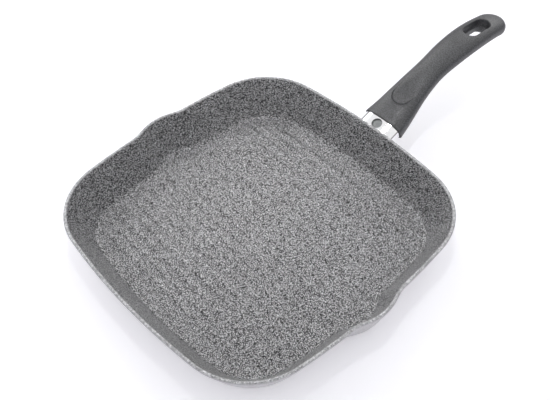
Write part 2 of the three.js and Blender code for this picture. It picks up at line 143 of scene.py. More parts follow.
SCOOP_EDGE_DEPTH = 0.3   # depth of its floor just inside its front edge
SCOOP_GROOVE = 0.6       # depth of the groove along its front edge, below that floor
SCOOP_GROOVE_WIDTH = 1.1
SCOOP_BEAD = 0.3         # height of the bead outside the groove
SCOOP_BEAD_WIDTH = 1.2
MOUTH_GAP = 0.95         # gap between grip and ferrule at the grip's front edge
MOUTH_DEPTH = 2.5        # depth over which that gap narrows to the fit
SLOT_SETBACK = 37
SLOT_LENGTH = 32
SLOT_WIDTH = 15.5
SLOT_LEDGE = 1.8
SLOT_EDGE = 1.0          # radius of the slot's rounded edge on top
SLOT_UNDER_EDGE = 3.2    # radius of its rounded edge on the underside
SLOT_ROUNDING = [math.radians(angle) for angle in (68, 50, 34, 17, 0)]   # from the surface inwards
SLOT_LEDGE_BEVEL = 0.3
CUT_OVERSHOOT = 2        # how far a cutter reaches past the surface

# Mesh steps of the handle
GRIP_STEPS = 220
FRONT_STEPS = 14
GROOVE_STEPS = 80
SCOOP_STEPS = 22
BACK_STEPS = 50
TAIL_STEPS = 16
SLOT_END_STEPS = 20
SLOT_SIDE_STEPS = 12
TONGUE_STEPS = 48
FERRULE_STEPS = 128
FERRULE_ROWS = 10
HOLE_STEPS = 96

# Camera of the photograph, which is 550 by 400 pixels
IMAGE_WIDTH = 550
FOCAL_PIXELS = 813
SENSOR_WIDTH = 36
CAMERA_AT = Vector((-0.2752, -0.3433, 0.5620))
CAMERA_RIGHT = Vector((0.737, -0.675, -0.028))
CAMERA_FORWARD = Vector((0.422, 0.492, -0.762))

# Looks: a scale is in specks or grains per metre, and tones are (place on the ramp, grey or colour)
SPECK_SCALE = 1120
SPECK_TONES = [(0.12, 0.95), (0.42, 0.245), (0.69, 0.0)]     # by distance from a speck's middle
ODD_SPECK_SCALE = 1150
BLACK_ODDS = [(0.03, 0.8), (0.05, 0.0)]      # share of black by a cell's random value
WHITE_ODDS = [(0.96, 0.0), (0.985, 0.6)]
BLACK_SPECK = (0.02, 0.02, 0.02, 1)
WHITE_SPECK = (0.9, 0.9, 0.92, 1)
# Painted highlight: a pale speckled line mixed into the coat's colour along the rim's top, where the
# rounded rim catches the light
RIM_HIGHLIGHT_START = 1.5     # millimetres below the rim's top at which the painted highlight along it starts
RIM_HIGHLIGHT_FULL = 0.3
RIM_HIGHLIGHT_SHARE = 0.85
RIM_HIGHLIGHT_SCALE = 900
RIM_HIGHLIGHT_TONES = [(0.0, 0.3), (0.5, 0.5), (1.0, 0.85)]
COAT_ROUGHNESS = [(0.0, 0.34), (1.0, 0.26)]
GRAIN_SCALE = 950
GRAIN_TONES = [(0.1, 1.8), (0.65, 0.5)]
METAL_UNEVENNESS = 0.06  # how far a dull metal's roughness strays either way
NOISE_LOW = 0.3          # noise lies mostly between these values
NOISE_HIGH = 0.7
BUMP_STRENGTH = 0.5

# Stage
FLOOR_REACH = 3000
FLOOR_DROP = 0.2         # below the base, so that no two faces coincide
FLOOR_COLOUR = (0.9, 0.9, 0.9, 1)
FLOOR_ROUGHNESS = 0.9
FLOOR_LIFT = 0.33        # glow that brings the lit floor to white where it is seen
FLOOR_LIFT_COLOUR = (0.955, 0.945, 1, 1)
WHITE = (1, 1, 1, 1)
LIGHT_LOW = (0.3, (0.27, 0.27, 0.285, 1))       # sky as a light: (height, colour) pairs
LIGHT_HIGH = (0.8, (0.88, 0.88, 0.92, 1))
REFLECTED_LOW = (0.12, (0.2, 0.195, 0.2, 1))    # sky as metal and gloss show it
REFLECTED_HIGH = (0.4, WHITE)
LAMP_WHITE = (1.0, 1.0, 1.0)
LAMP_WARM = (1.0, 0.985, 0.975)
ALL_ROUND = 180          # degrees over which an open lamp shines

pan_low, pan_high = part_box("pan_body")
RIM_SIDE = (pan_high.x - pan_low.x) / MM
RIM_HEIGHT = pan_high.z / MM


# Shared helpers

def smoothstep(low, high, value):
    share = min(max((value - low) / (high - low), 0), 1)
    return share * share * (3 - 2 * share)


def hump(share):
    """Smooth rise and fall from 0 through 1 to 0 as the share goes from 0 to 1."""
    return math.sin(math.pi * share) ** 2 if 0 < share < 1 else 0


def spread(start, end, steps):
    return [start + (end - start) * step / steps for step in range(steps + 1)]


def mix(first, second, share):
    return first + (second - first) * share


def mix_pair(first, second, share):
    return tuple(mix(a, b, share) for a, b in zip(first, second))


def build_object(name, points, faces):
    mesh = bpy.data.meshes.new(name)
    mesh.from_pydata([Vector(point) * MM for point in points], [], faces)
    mesh.validate()
    piece = bpy.data.objects.new(name, mesh)
    bpy.context.scene.collection.objects.link(piece)
    return piece


def smooth(piece, sharp_angle):
    piece.data.shade_smooth()
    piece.data.set_sharp_from_angle(angle=math.radians(sharp_angle))


def ring_faces(rings, count):
    """Quads between rings of `count` points that are stored one after the other."""
    faces = []
    for ring in range(rings - 1):
        for point in range(count):
            following = (point + 1) % count
            here = ring * count
            there = here + count
            faces.append((here + point, here + following, there + following, there + point))
    return faces


def loft(name, rings):
    """Closed solid over rings of equal length, with a fan over each end."""
    count = len(rings[0])
    points = [point for ring in rings for point in ring]
    faces = ring_faces(len(rings), count)
    last = (len(rings) - 1) * count
    points.append(sum((Vector(p) for p in rings[0]), Vector()) / count)
    points.append(sum((Vector(p) for p in rings[-1]), Vector()) / count)
    for point in range(count):
        following = (point + 1) % count
        faces.append((len(points) - 2, following, point))
        faces.append((len(points) - 1, last + point, last + following))
    return build_object(name, points, faces)


def lathe(name, profile, steps):
    """Solid of revolution about z from (radius, z) pairs. The ends of the profile lie on the axis."""
    turns = [2 * math.pi * step / steps for step in range(steps)]
    rings = [
        [(radius * math.cos(turn), radius * math.sin(turn), z) for turn in turns]
        for radius, z in profile[1:-1]
    ]
    return loft(name, rings)


def cut(piece, cutter):
    """Takes the cutter's space out of the piece, and removes the cutter."""
    modifier = piece.modifiers.new("cut", "BOOLEAN")
    modifier.operation = "DIFFERENCE"
    modifier.solver = "EXACT"
    modifier.object = cutter
    bpy.context.view_layer.update()
    graph = bpy.context.evaluated_depsgraph_get()
    result = bpy.data.meshes.new_from_object(piece.evaluated_get(graph))
    piece.modifiers.clear()
    old = piece.data
    piece.data = result
    bpy.data.meshes.remove(old)
    bpy.data.objects.remove(cutter)


def place_on_body(piece, node, material):
    piece.data.materials.clear()
    piece.data.materials.append(material)
    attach(piece, "root")
    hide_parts(node)


# Pan body

def plan_arcs(inset):
    """Bowed side's centre and radius, corner's centre and radius, and the angle where they meet."""
    side_centre = SIDE_BOW_RADIUS - RIM_SIDE / 2
    side_radius = SIDE_BOW_RADIUS - inset
    corner_radius = CORNER_RADIUS - inset
    reach = side_radius - corner_radius
    corner = (math.sqrt(2 * reach ** 2 - side_centre ** 2) - side_centre) / 2
    return side_centre, side_radius, corner, corner_radius, math.atan2(corner, corner + side_centre)


def plan_point(angle, inset):
    """Point of the outline's +Y half whose outward direction is `angle`, from 0 to pi."""
    side_centre, side_radius, corner, corner_radius, turn = plan_arcs(inset)
    folded = min(angle, math.pi - angle)
    if folded < turn:
        x = side_radius * math.cos(folded) - side_centre
        y = side_radius * math.sin(folded)
    elif folded < math.pi / 2 - turn:
        x = corner + corner_radius * math.cos(folded)
        y = corner + corner_radius * math.sin(folded)
    else:
        x = side_radius * math.cos(folded)
        y = side_radius * math.sin(folded) - side_centre
    return (x, y) if angle <= math.pi / 2 else (-x, y)


def angle_at(x, inset):
    """Outward direction at the outline's point above x, away from the sides that face +X and -X."""
    side_centre, side_radius, corner, corner_radius, turn = plan_arcs(inset)
    folded = math.acos(abs(x) / side_radius)
    if folded < math.pi / 2 - turn:
        folded = math.acos((abs(x) - corner) / corner_radius)
    return folded if x >= 0 else math.pi - folded


def wall_feet():
    """Insets of the flat base's edge and of the flat floor's edge."""
    radius = WALL_THICKNESS / 2
    level = RIM_HEIGHT - radius
    outer_drop = level - radius * math.cos(OUTSIDE_ANGLE)
    inner_drop = level + radius * math.cos(INSIDE_ANGLE) - FLOOR_THICKNESS
    outer_foot = radius - radius * math.sin(OUTSIDE_ANGLE) + outer_drop / math.tan(OUTSIDE_ANGLE)
    inner_foot = radius + radius * math.sin(INSIDE_ANGLE) + inner_drop / math.tan(INSIDE_ANGLE)
    base_edge = outer_foot + BASE_FILLET * math.tan(OUTSIDE_ANGLE / 2)
    return base_edge, inner_foot + FLOOR_FILLET * math.tan(INSIDE_ANGLE / 2)


BASE_EDGE, FLOOR_EDGE = wall_feet()


def section_arc(inset, level, radius, start, end, steps):
    return [
        (inset + radius * math.cos(angle), level + radius * math.sin(angle))
        for angle in spread(start, end, steps)
    ]


def wall_section():
    """(inset, level) pairs from the floor's edge up the inside, over the rim and down to the base."""
    down = -math.pi / 2
    radius = WALL_THICKNESS / 2
    inner = section_arc(
        FLOOR_EDGE, FLOOR_THICKNESS + FLOOR_FILLET, FLOOR_FILLET,
        down, down - INSIDE_ANGLE, FILLET_STEPS)
    rim = section_arc(
        radius, RIM_HEIGHT - radius, radius,
        -down - INSIDE_ANGLE, math.pi - down - OUTSIDE_ANGLE, RIM_STEPS)
    outer = section_arc(
        BASE_EDGE, BASE_FILLET, BASE_FILLET, down - OUTSIDE_ANGLE, down, FILLET_STEPS)
    shares = spread(0, 1, WALL_STEPS)[1:-1]
    inside_wall = [mix_pair(inner[-1], rim[0], share) for share in shares]
    outside_wall = [mix_pair(rim[-1], outer[0], share) for share in shares]
    return inner + inside_wall + rim + outside_wall + outer


def rib_middles():
    room = RIM_SIDE / 2 - FLOOR_EDGE - RIB_MARGIN - RIB_FOOT / 2
    each_way = math.floor(room / RIB_PITCH)
    return [place * RIB_PITCH for place in range(-each_way, each_way + 1)]


def column_angles():
    """Outward directions of the outline's points, so that columns run along every rib's edges."""
    turn = plan_arcs(FLOOR_EDGE)[-1]
    flank = [RIB_CREST / 2 + (RIB_FOOT - RIB_CREST) / 2 * share for share in spread(0, 1, FLANK_STEPS)]
    places = []
    for middle in rib_middles():
        places += [middle - offset for offset in reversed(flank)]
        places += [middle + offset for offset in flank]
    outermost = angle_at(places[-1], FLOOR_EDGE)
    corner_end = spread(turn, outermost, CORNER_STEPS)[:-1]
    side_end = spread(0, turn, SIDE_STEPS)[:-1]
    first = side_end + corner_end
    middle = sorted(angle_at(place, FLOOR_EDGE) for place in places)
    return first + middle + [math.pi - angle for angle in reversed(first)]


COLUMNS = column_angles()


def lip_push(x, level):
    swell = max(0, 1 - abs(x) / (LIP_WIDTH / 2))
    upwards = (level - FLOOR_THICKNESS) / (RIM_HEIGHT - FLOOR_THICKNESS)
    reach = LIP_FOOT_REACH + (LIP_REACH - LIP_FOOT_REACH) * upwards
    reach *= smoothstep(0, FLOOR_THICKNESS, level)
    return reach * (1 - math.cos(math.pi * swell ** LIP_POWER)) / 2


def pan_ring(inset, level):
    """Outline at one level: the +Y half from +X to -X, then the -Y half back."""
    upper = []
    for angle in COLUMNS:
        x, y = plan_point(angle, inset)
        upper.append((x, y + lip_push(x, level) if y > RIM_SIDE / 4 else y, level))
    return upper + [(x, -y, z) for x, y, z in reversed(upper[1:-1])]


def rib_rise(x, to_end):
    """Height of the ribs at x, `to_end` inside their ends."""
    nearest = min(abs(x - middle) for middle in rib_middles())
    flank = 1 - smoothstep(RIB_CREST / 2, RIB_FOOT / 2, nearest)
    return RIB_HEIGHT * flank * smoothstep(0, RIB_END, to_end)


def floor_column(angle, last_rib):
    """Points of one floor column between its two outline points, from +Y to -Y."""
    x, edge = plan_point(angle, FLOOR_EDGE)
    inner_x = min(abs(x), last_rib)
    inner_edge = plan_point(angle_at(inner_x, FLOOR_EDGE), FLOOR_EDGE)[1]
    rib_end = plan_point(angle_at(inner_x, FLOOR_EDGE + RIB_MARGIN), FLOOR_EDGE + RIB_MARGIN)[1]
    squeeze = edge / inner_edge
    margin = inner_edge - rib_end
    steps_in = [margin * share for share in MARGIN_SHARES]
    steps_in += [margin + RIB_END * share for share in spread(0, 1, RIB_END_STEPS)]
    innermost = margin + 2 * RIB_END
    steps_in += [mix(innermost, inner_edge, share) for share in spread(0, 1, FLOOR_STEPS)[:-1]]
    upper = [edge - step * squeeze for step in steps_in]
    heights = [rib_rise(x, step - margin) if abs(x) <= last_rib else 0 for step in steps_in]
    half = [(x, y, FLOOR_THICKNESS + rise) for y, rise in zip(upper, heights)]
    middle = [(x, 0, FLOOR_THICKNESS + heights[-1])]
    return half + middle + [(x, -y, z) for x, y, z in reversed(half)]


def strip_faces(left, right):
    """Faces between two floor columns. A column of one point is an end of the outline."""
    if len(left) == 1:
        return [(left[0], right[row], right[row + 1]) for row in range(len(right) - 1)]
    if len(right) == 1:
        return [(left[row], right[0], left[row + 1]) for row in range(len(left) - 1)]
    return [
        (left[row], right[row], right[row + 1], left[row + 1])
        for row in range(len(left) - 1)
    ]


def pan_mesh():
    rings = [pan_ring(inset, level) for inset, level in wall_section()]
    count = len(rings[0])
    points = [point for ring in rings for point in ring]
    faces = [face[::-1] for face in ring_faces(len(rings), count)]
    base = (len(rings) - 1) * count
    columns = len(COLUMNS)

    def upper_edge(column):
        return column

    def lower_edge(column):
        return (count - column) % count

    last_rib = rib_middles()[-1] + RIB_FOOT / 2
    strips = [[0]]
    for column in range(1, columns - 1):
        inner = floor_column(COLUMNS[column], last_rib)
        start = len(points)
        points.extend(inner)
        strips.append(
            [upper_edge(column), *range(start, start + len(inner)), lower_edge(column)])
    strips.append([columns - 1])
    for left, right in zip(strips, strips[1:]):
        faces += strip_faces(left, right)
    for column in range(columns - 1):
        corners = [upper_edge(column), lower_edge(column), lower_edge(column + 1), upper_edge(column + 1)]
        faces.append(tuple(dict.fromkeys(base + corner for corner in corners)))
    pan = build_object("pan_shell", points, faces)
    outside = pan.data.attributes.new("outside", "FLOAT", "POINT")
    rim_ring = max(range(len(rings)), key=lambda ring: rings[ring][0][2])
    for index in range((rim_ring + OUTSIDE_START) * count, len(rings) * count):
        outside.data[index].value = 1
    smooth(pan, sharp_angle=60)
    return pan


# Handle

HANDLE_FRAME = Matrix.Translation(Vector((RIM_SIDE / 2, 0, RIM_HEIGHT - HANDLE_DROP)) * MM)
HANDLE_FRAME = HANDLE_FRAME @ Matrix.Rotation(-HANDLE_TILT, 4, "Y")
TONGUE_TOP = FOOT_HEIGHT / 2
TONGUE_MIDDLE = TONGUE_TOP - TONGUE_THICKNESS / 2
SCREW_AT = FERRULE_SHOWN + TONGUE_INSERT - SCREW_SETBACK
SCREW_SEAT = TONGUE_TOP - TONGUE_THICKNESS - FIT_GAP - SCREW_WEB
HEAD_TOP = SCREW_SEAT - WASHER_THICKNESS - SPRING_THICKNESS - 3 * FIT_GAP
RIVET_AT = FERRULE_SHOWN - RIVET_SETBACK
GRIP_LENGTH = TAIL[0] + TAIL_ROUND


def power_round(value, power):
    return math.copysign(abs(value) ** (2 / power), value)


def oval(width, height, top_power, underside_power, steps, crowding):
    """(y, z) pairs of a rounded section. Crowding above 0 puts more of them on its top."""
    pairs = []
    for step in range(steps):
        turn = 2 * math.pi * step / steps
        turn += crowding * math.cos(turn)
        power = top_power if math.sin(turn) >= 0 else underside_power
        y = width / 2 * power_round(math.cos(turn), power)
        z = height / 2 * power_round(math.sin(turn), power)
        pairs.append((y, z))
    return pairs


def midline(along):
    """(x, z, upward angle) of the grip's midline in the handle's frame."""
    turn = min(along, NECK_LENGTH) / NECK_RADIUS
    x = FERRULE_SHOWN + NECK_RADIUS * math.sin(turn)
    z = NECK_RADIUS * (1 - math.cos(turn))
    if along <= NECK_LENGTH:
        return x, z, turn
    angle = turn - (along - NECK_LENGTH) / BEND_RADIUS
    x += BEND_RADIUS * (math.sin(turn) - math.sin(angle))
    z += BEND_RADIUS * (math.cos(angle) - math.cos(turn))
    return x, z, angle


def on_midline(along, y, z):
    x, rise, angle = midline(along)
    return x - z * math.sin(angle), y, rise + z * math.cos(angle)


def grip_sections():
    front = (0, FERRULE_WIDTH + 2 * (FIT_GAP + GRIP_LIP), FERRULE_HEIGHT + 2 * (FIT_GAP + GRIP_LIP))
    return [front, NECK, THROAT, WAIST, BELLY, PALM, TAIL]


def curve_through(stations, along, part):
    """Smooth curve through one part of the stations, with slopes from their neighbours."""
    last = len(stations) - 2
    index = max(0, min(last, sum(station[0] <= along for station in stations) - 1))
    start, end = stations[index], stations[index + 1]
    before = stations[max(index - 1, 0)]
    after = stations[min(index + 2, len(stations) - 1)]
    length = end[0] - start[0]
    slope_in = (end[part] - before[part]) / (end[0] - before[0]) * length
    slope_out = (after[part] - start[part]) / (after[0] - start[0]) * length
    t = (along - start[0]) / length
    return (
        (2 * t ** 3 - 3 * t ** 2 + 1) * start[part] + (t ** 3 - 2 * t ** 2 + t) * slope_in
        + (3 * t ** 2 - 2 * t ** 3) * end[part] + (t ** 3 - t ** 2) * slope_out)


def grip_size(along):
    """Width and height of the grip, with its rounded tail."""
    stations = grip_sections()
    within = min(along, TAIL[0])
    width = curve_through(stations, within, 1)
    height = curve_through(stations, within, 2)
    past = max(0, (along - TAIL[0]) / TAIL_ROUND)
    left = max(0, 1 - past ** TAIL_POWER) ** (1 / TAIL_POWER)
    if past > 0:
        height = TAIL_END_HEIGHT + (height - TAIL_END_HEIGHT) * left
    return width * left, height


def scoop_sink(along, y):
    """Depth of the thumb rest: a bead and a groove round its front, a dish that runs out at its back."""
    radius = SCOOP_WIDTH / 2
    widest = SCOOP_FRONT + radius
    reach = radius if along < widest else SCOOP_LENGTH - radius
    across = math.hypot((along - widest) / reach, y / radius)
    inside = (1 - across) * radius
    back = SCOOP_FRONT + SCOOP_LENGTH
    fade = 1 - smoothstep(widest, back, along)
    edge_fade = 1 - smoothstep(SCOOP_FRONT + radius / 2, SCOOP_FRONT + SCOOP_LENGTH / 2, along)
    dish = SCOOP_EDGE_DEPTH + (SCOOP_DEPTH - SCOOP_EDGE_DEPTH) * smoothstep(0, radius, inside)
    floor = dish * fade * smoothstep(0, SCOOP_GROOVE_WIDTH / 4, inside)
    groove = SCOOP_GROOVE * hump(inside / SCOOP_GROOVE_WIDTH)
    bead = SCOOP_BEAD * hump(-inside / SCOOP_BEAD_WIDTH)
    return floor + (groove - bead) * edge_fade


def grip_ring(along):
    width, height = grip_size(along)
    points = []
    for y, z in oval(width, height, TOP_POWER, UNDERSIDE_POWER, GRIP_STEPS, TOP_CROWDING):
        sink = scoop_sink(along, y) if z > 0 else 0
        points.append(on_midline(along, y, z - sink))
    return points


def seat_ring(along, gap):
    """Ring of the ferrule's seat in the grip, `gap` outside the ferrule."""
    pairs = oval(
        FERRULE_WIDTH + 2 * gap, FERRULE_HEIGHT + 2 * gap, FERRULE_POWER, FERRULE_POWER,
        GRIP_STEPS, TOP_CROWDING)
    return [(along, y, z) for y, z in pairs]


def grip_mesh():
    scoop_end = SCOOP_FRONT + SCOOP_LENGTH
    groove_end = SCOOP_FRONT + SCOOP_LENGTH / 2
    seat_floor = FERRULE_SHOWN + FERRULE_INSERT + FIT_GAP
    bead_start = SCOOP_FRONT - SCOOP_BEAD_WIDTH
    tail_turns = spread(0, TAIL_LAST_TURN, TAIL_STEPS)[1:]
    stations = spread(FRONT_EDGE, bead_start, FRONT_STEPS)[:-1]
    stations += spread(bead_start, groove_end, GROOVE_STEPS)
    stations += spread(groove_end, scoop_end, SCOOP_STEPS)[1:]
    stations += spread(scoop_end, TAIL[0], BACK_STEPS)[1:]
    stations += [TAIL[0] + TAIL_ROUND * math.sin(turn) for turn in tail_turns]
    edge = [(x, y * FRONT_WIDTH_SHARE, z * FRONT_HEIGHT_SHARE) for x, y, z in grip_ring(0)]
    rings = [
        seat_ring(seat_floor, FIT_GAP),
        seat_ring(FERRULE_SHOWN + MOUTH_DEPTH, FIT_GAP),
        seat_ring(FERRULE_SHOWN, MOUTH_GAP),
        edge,
    ]
    rings += [grip_ring(along) for along in stations]
    grip = loft("grip_shell", rings)
    cut(grip, slot_cutter())
    cut(grip, tongue_cutter())
    cut(grip, screw_cutter())
    smooth(grip, sharp_angle=38)
    grip.data.transform(HANDLE_FRAME)
    return grip


def surface_height(along, y, side):
    """Distance from the midline to the grip's top (side 1) or underside (side -1)."""
    width, height = grip_size(along)
    power = TOP_POWER if side > 0 else UNDERSIDE_POWER
    share = max(0, 1 - abs(2 * y / width) ** power)
    return height / 2 * share ** (1 / power)


def slot_outline(length, width):
    """(along, y) pairs of a slot with round ends, about its middle."""
    straight = (length - width) / 2
    pairs = []
    for end in (1, -1):
        for turn in spread(-math.pi / 2, math.pi / 2, SLOT_END_STEPS):
            along = straight + width / 2 * math.cos(turn)
            pairs.append((end * along, end * width / 2 * math.sin(turn)))
        for back in spread(1, -1, SLOT_SIDE_STEPS)[1:-1]:
            pairs.append((end * straight * back, end * width / 2))
    return pairs


def slot_cutter():
    """The hanging slot's space, with rounded edges at the grip's top and underside."""
    middle = GRIP_LENGTH - SLOT_SETBACK
    lower = (SLOT_LENGTH - 2 * SLOT_LEDGE, SLOT_WIDTH - 2 * SLOT_LEDGE)
    upper = (SLOT_LENGTH, SLOT_WIDTH)
    rings = []

    def add_ring(size, widen, side, depth):
        """Ring `depth` below the top (side 1) or underside (side -1), or at that height (side 0)."""
        ring = []
        for offset, y in slot_outline(size[0] + 2 * widen, size[1] + 2 * widen):
            along = middle + offset
            z = side * (surface_height(along, y, side) - depth) if side else depth
            ring.append(on_midline(along, y, z))
        rings.append(ring)

    def add_rounded(size, radius, side, angle):
        add_ring(size, radius * (1 - math.cos(angle)), side, radius * (1 - math.sin(angle)))

    widest = 1 - math.cos(SLOT_ROUNDING[0])
    add_ring(lower, SLOT_UNDER_EDGE * widest, -1, -CUT_OVERSHOOT)
    for angle in SLOT_ROUNDING:
        add_rounded(lower, SLOT_UNDER_EDGE, -1, angle)
    add_ring(lower, 0, 0, -SLOT_LEDGE_BEVEL)
    add_ring(lower, SLOT_LEDGE_BEVEL, 0, 0)
    add_ring(upper, -SLOT_LEDGE_BEVEL, 0, 0)
    add_ring(upper, 0, 0, SLOT_LEDGE_BEVEL)
    for angle in reversed(SLOT_ROUNDING):
        add_rounded(upper, SLOT_EDGE, 1, angle)
    add_ring(upper, SLOT_EDGE * widest, 1, -CUT_OVERSHOOT)
    return loft("slot_cutter", rings)


def tongue_cutter():
    pairs = oval(
        TONGUE_WIDTH + 2 * FIT_GAP, TONGUE_THICKNESS + 2 * FIT_GAP, TONGUE_POWER, TONGUE_POWER,
        TONGUE_STEPS, crowding=0)
    ends = (FERRULE_SHOWN, FERRULE_SHOWN + TONGUE_INSERT + FIT_GAP)
    return loft("tongue_cutter", [[(x, y, z + TONGUE_MIDDLE) for y, z in pairs] for x in ends])


def screw_cutter():
    """Stepped hole for the screw and washers, from the grip's underside up into the tongue's socket."""
    pocket = WASHER_DIAMETER / 2 + FIT_GAP
    hole = SCREW_DIAMETER / 2 + FIT_GAP
    profile = [
        (0, -FERRULE_HEIGHT), (pocket, -FERRULE_HEIGHT), (pocket, SCREW_SEAT),
        (hole, SCREW_SEAT), (hole, TONGUE_MIDDLE), (0, TONGUE_MIDDLE),
    ]
    cutter = lathe("screw_cutter", profile, steps=64)
    cutter.data.transform(Matrix.Translation((SCREW_AT * MM, 0, 0)))
    return cutter


def wall_inset(level):
    """Inset of the pan's outside at a level above the base."""
    if level < BASE_FILLET * (1 - math.cos(OUTSIDE_ANGLE)):
        angle = math.acos(1 - max(level, 0) / BASE_FILLET)
        return BASE_EDGE - BASE_FILLET * math.sin(angle)
    foot = BASE_EDGE - BASE_FILLET * math.tan(OUTSIDE_ANGLE / 2)
    return foot - level / math.tan(OUTSIDE_ANGLE)


def wall_reach(y, z):
    """Place on the handle's axis where a line along it, at (y, z), comes out of the pan's wall."""
    side_centre = SIDE_BOW_RADIUS - RIM_SIDE / 2
    inside, outside = REACH_SEARCH
    for _ in range(REACH_HALVINGS):
        x = (inside + outside) / 2
        world = HANDLE_FRAME @ (Vector((x, y, z)) * MM) / MM
        radius = SIDE_BOW_RADIUS - wall_inset(world.z) + FIT_GAP
        if world.x < math.sqrt(radius ** 2 - y ** 2) - side_centre:
            inside = x
        else:
            outside = x
    return outside


def ferrule_mesh():
    steps = FERRULE_STEPS
    end = FERRULE_SHOWN + FERRULE_INSERT

    def ring_at(inward, share):
        """Ring `inward` of the outside, at a share of the way from the pan's wall to the end."""
        pairs = oval(
            FERRULE_WIDTH - 2 * inward, FERRULE_HEIGHT - 2 * inward, FERRULE_POWER, FERRULE_POWER,
            steps, crowding=0)
        return [(mix(wall_reach(y, z), end, share), y, z) for y, z in pairs]

    lengthwise = spread(0, 1, FERRULE_ROWS)
    rings = [ring_at(0, share) for share in lengthwise]
    rings += [ring_at(FERRULE_SHEET, share) for share in reversed(lengthwise)]
    points = [point for ring in rings for point in ring]
    faces = ring_faces(len(rings), steps)
    last = (len(rings) - 1) * steps
    for point in range(steps):
        following = (point + 1) % steps
        faces.append((last + point, last + following, following, point))
    ferrule = build_object("ferrule_sleeve", points, faces)
    hole = RIVET_DIAMETER / 2 + FIT_GAP
    high = FERRULE_HEIGHT
    cutter = lathe("rivet_cutter", [(0, 0), (hole, 0), (hole, high), (0, high)], HOLE_STEPS)
    cutter.data.transform(Matrix.Translation((RIVET_AT * MM, 0, 0)))
    cut(ferrule, cutter)
    smooth(ferrule, sharp_angle=40)
    ferrule.data.transform(HANDLE_FRAME)
    return ferrule


def rivet_mesh():
    radius = RIVET_DIAMETER / 2
    low = TONGUE_TOP + FIT_GAP
    high = FERRULE_HEIGHT / 2 - RIVET_RECESS
    edge = RIVET_EDGE
    rounding = [
        (radius - edge + edge * math.cos(turn), high - edge + edge * math.sin(turn))
        for turn in spread(0, math.pi / 2, steps=6)
    ]
    profile = [(0, low), (radius - RIVET_CHAMFER, low), (radius, low + RIVET_CHAMFER)]
    profile += [*rounding, (radius / 2, high), (0, high)]
    rivet = lathe("rivet_head", profile, steps=64)
    rivet.data.transform(Matrix.Translation((RIVET_AT * MM, 0, 0)))
    smooth(rivet, sharp_angle=30)
    rivet.data.transform(HANDLE_FRAME)
    return rivet


def rectangle(half_length, half_width, level):
    corners = [(1, 1), (-1, 1), (-1, -1), (1, -1)]
    return [(half_length * x, half_width * y, level) for x, y in corners]


def screw_mesh():
    """Pan-head screw with a cross recess, its head down."""
    radius = HEAD_DIAMETER / 2
    shank = SCREW_DIAMETER / 2
    low = HEAD_TOP - HEAD_HEIGHT
    end = TONGUE_TOP - FIT_GAP
    crown = [
        (radius * math.sin(turn), low + HEAD_DOME * (1 - math.cos(turn)))
        for turn in spread(HEAD_FLAT_TURN, math.pi / 2, steps=8)
    ]
    thread = []
    level = HEAD_TOP + THREAD_PITCH
    while level < end - THREAD_PITCH:
        thread += [(shank - THREAD_DEPTH, level), (shank, level + THREAD_PITCH / 2)]
        level += THREAD_PITCH
    profile = [(0, low), *crown, (radius, HEAD_TOP), (shank, HEAD_TOP), *thread]
    profile += [(shank - SCREW_END_CHAMFER, end), (0, end)]
    screw = lathe("screw_body", profile, steps=48)
    for quarter in (0, math.pi / 2):
        mouth = rectangle(*RECESS_MOUTH, -RECESS_OVERSHOOT)
        bottom = rectangle(*RECESS_BOTTOM, RECESS_DEPTH)
        recess = loft("recess_cutter", [mouth, bottom])
        recess.data.transform(Matrix.Translation((0, 0, low * MM)) @ Matrix.Rotation(quarter, 4, "Z"))
        cut(screw, recess)
    screw.data.transform(Matrix.Translation((SCREW_AT * MM, 0, 0)))
    smooth(screw, sharp_angle=30)
    screw.data.transform(HANDLE_FRAME)
    return screw


# Materials

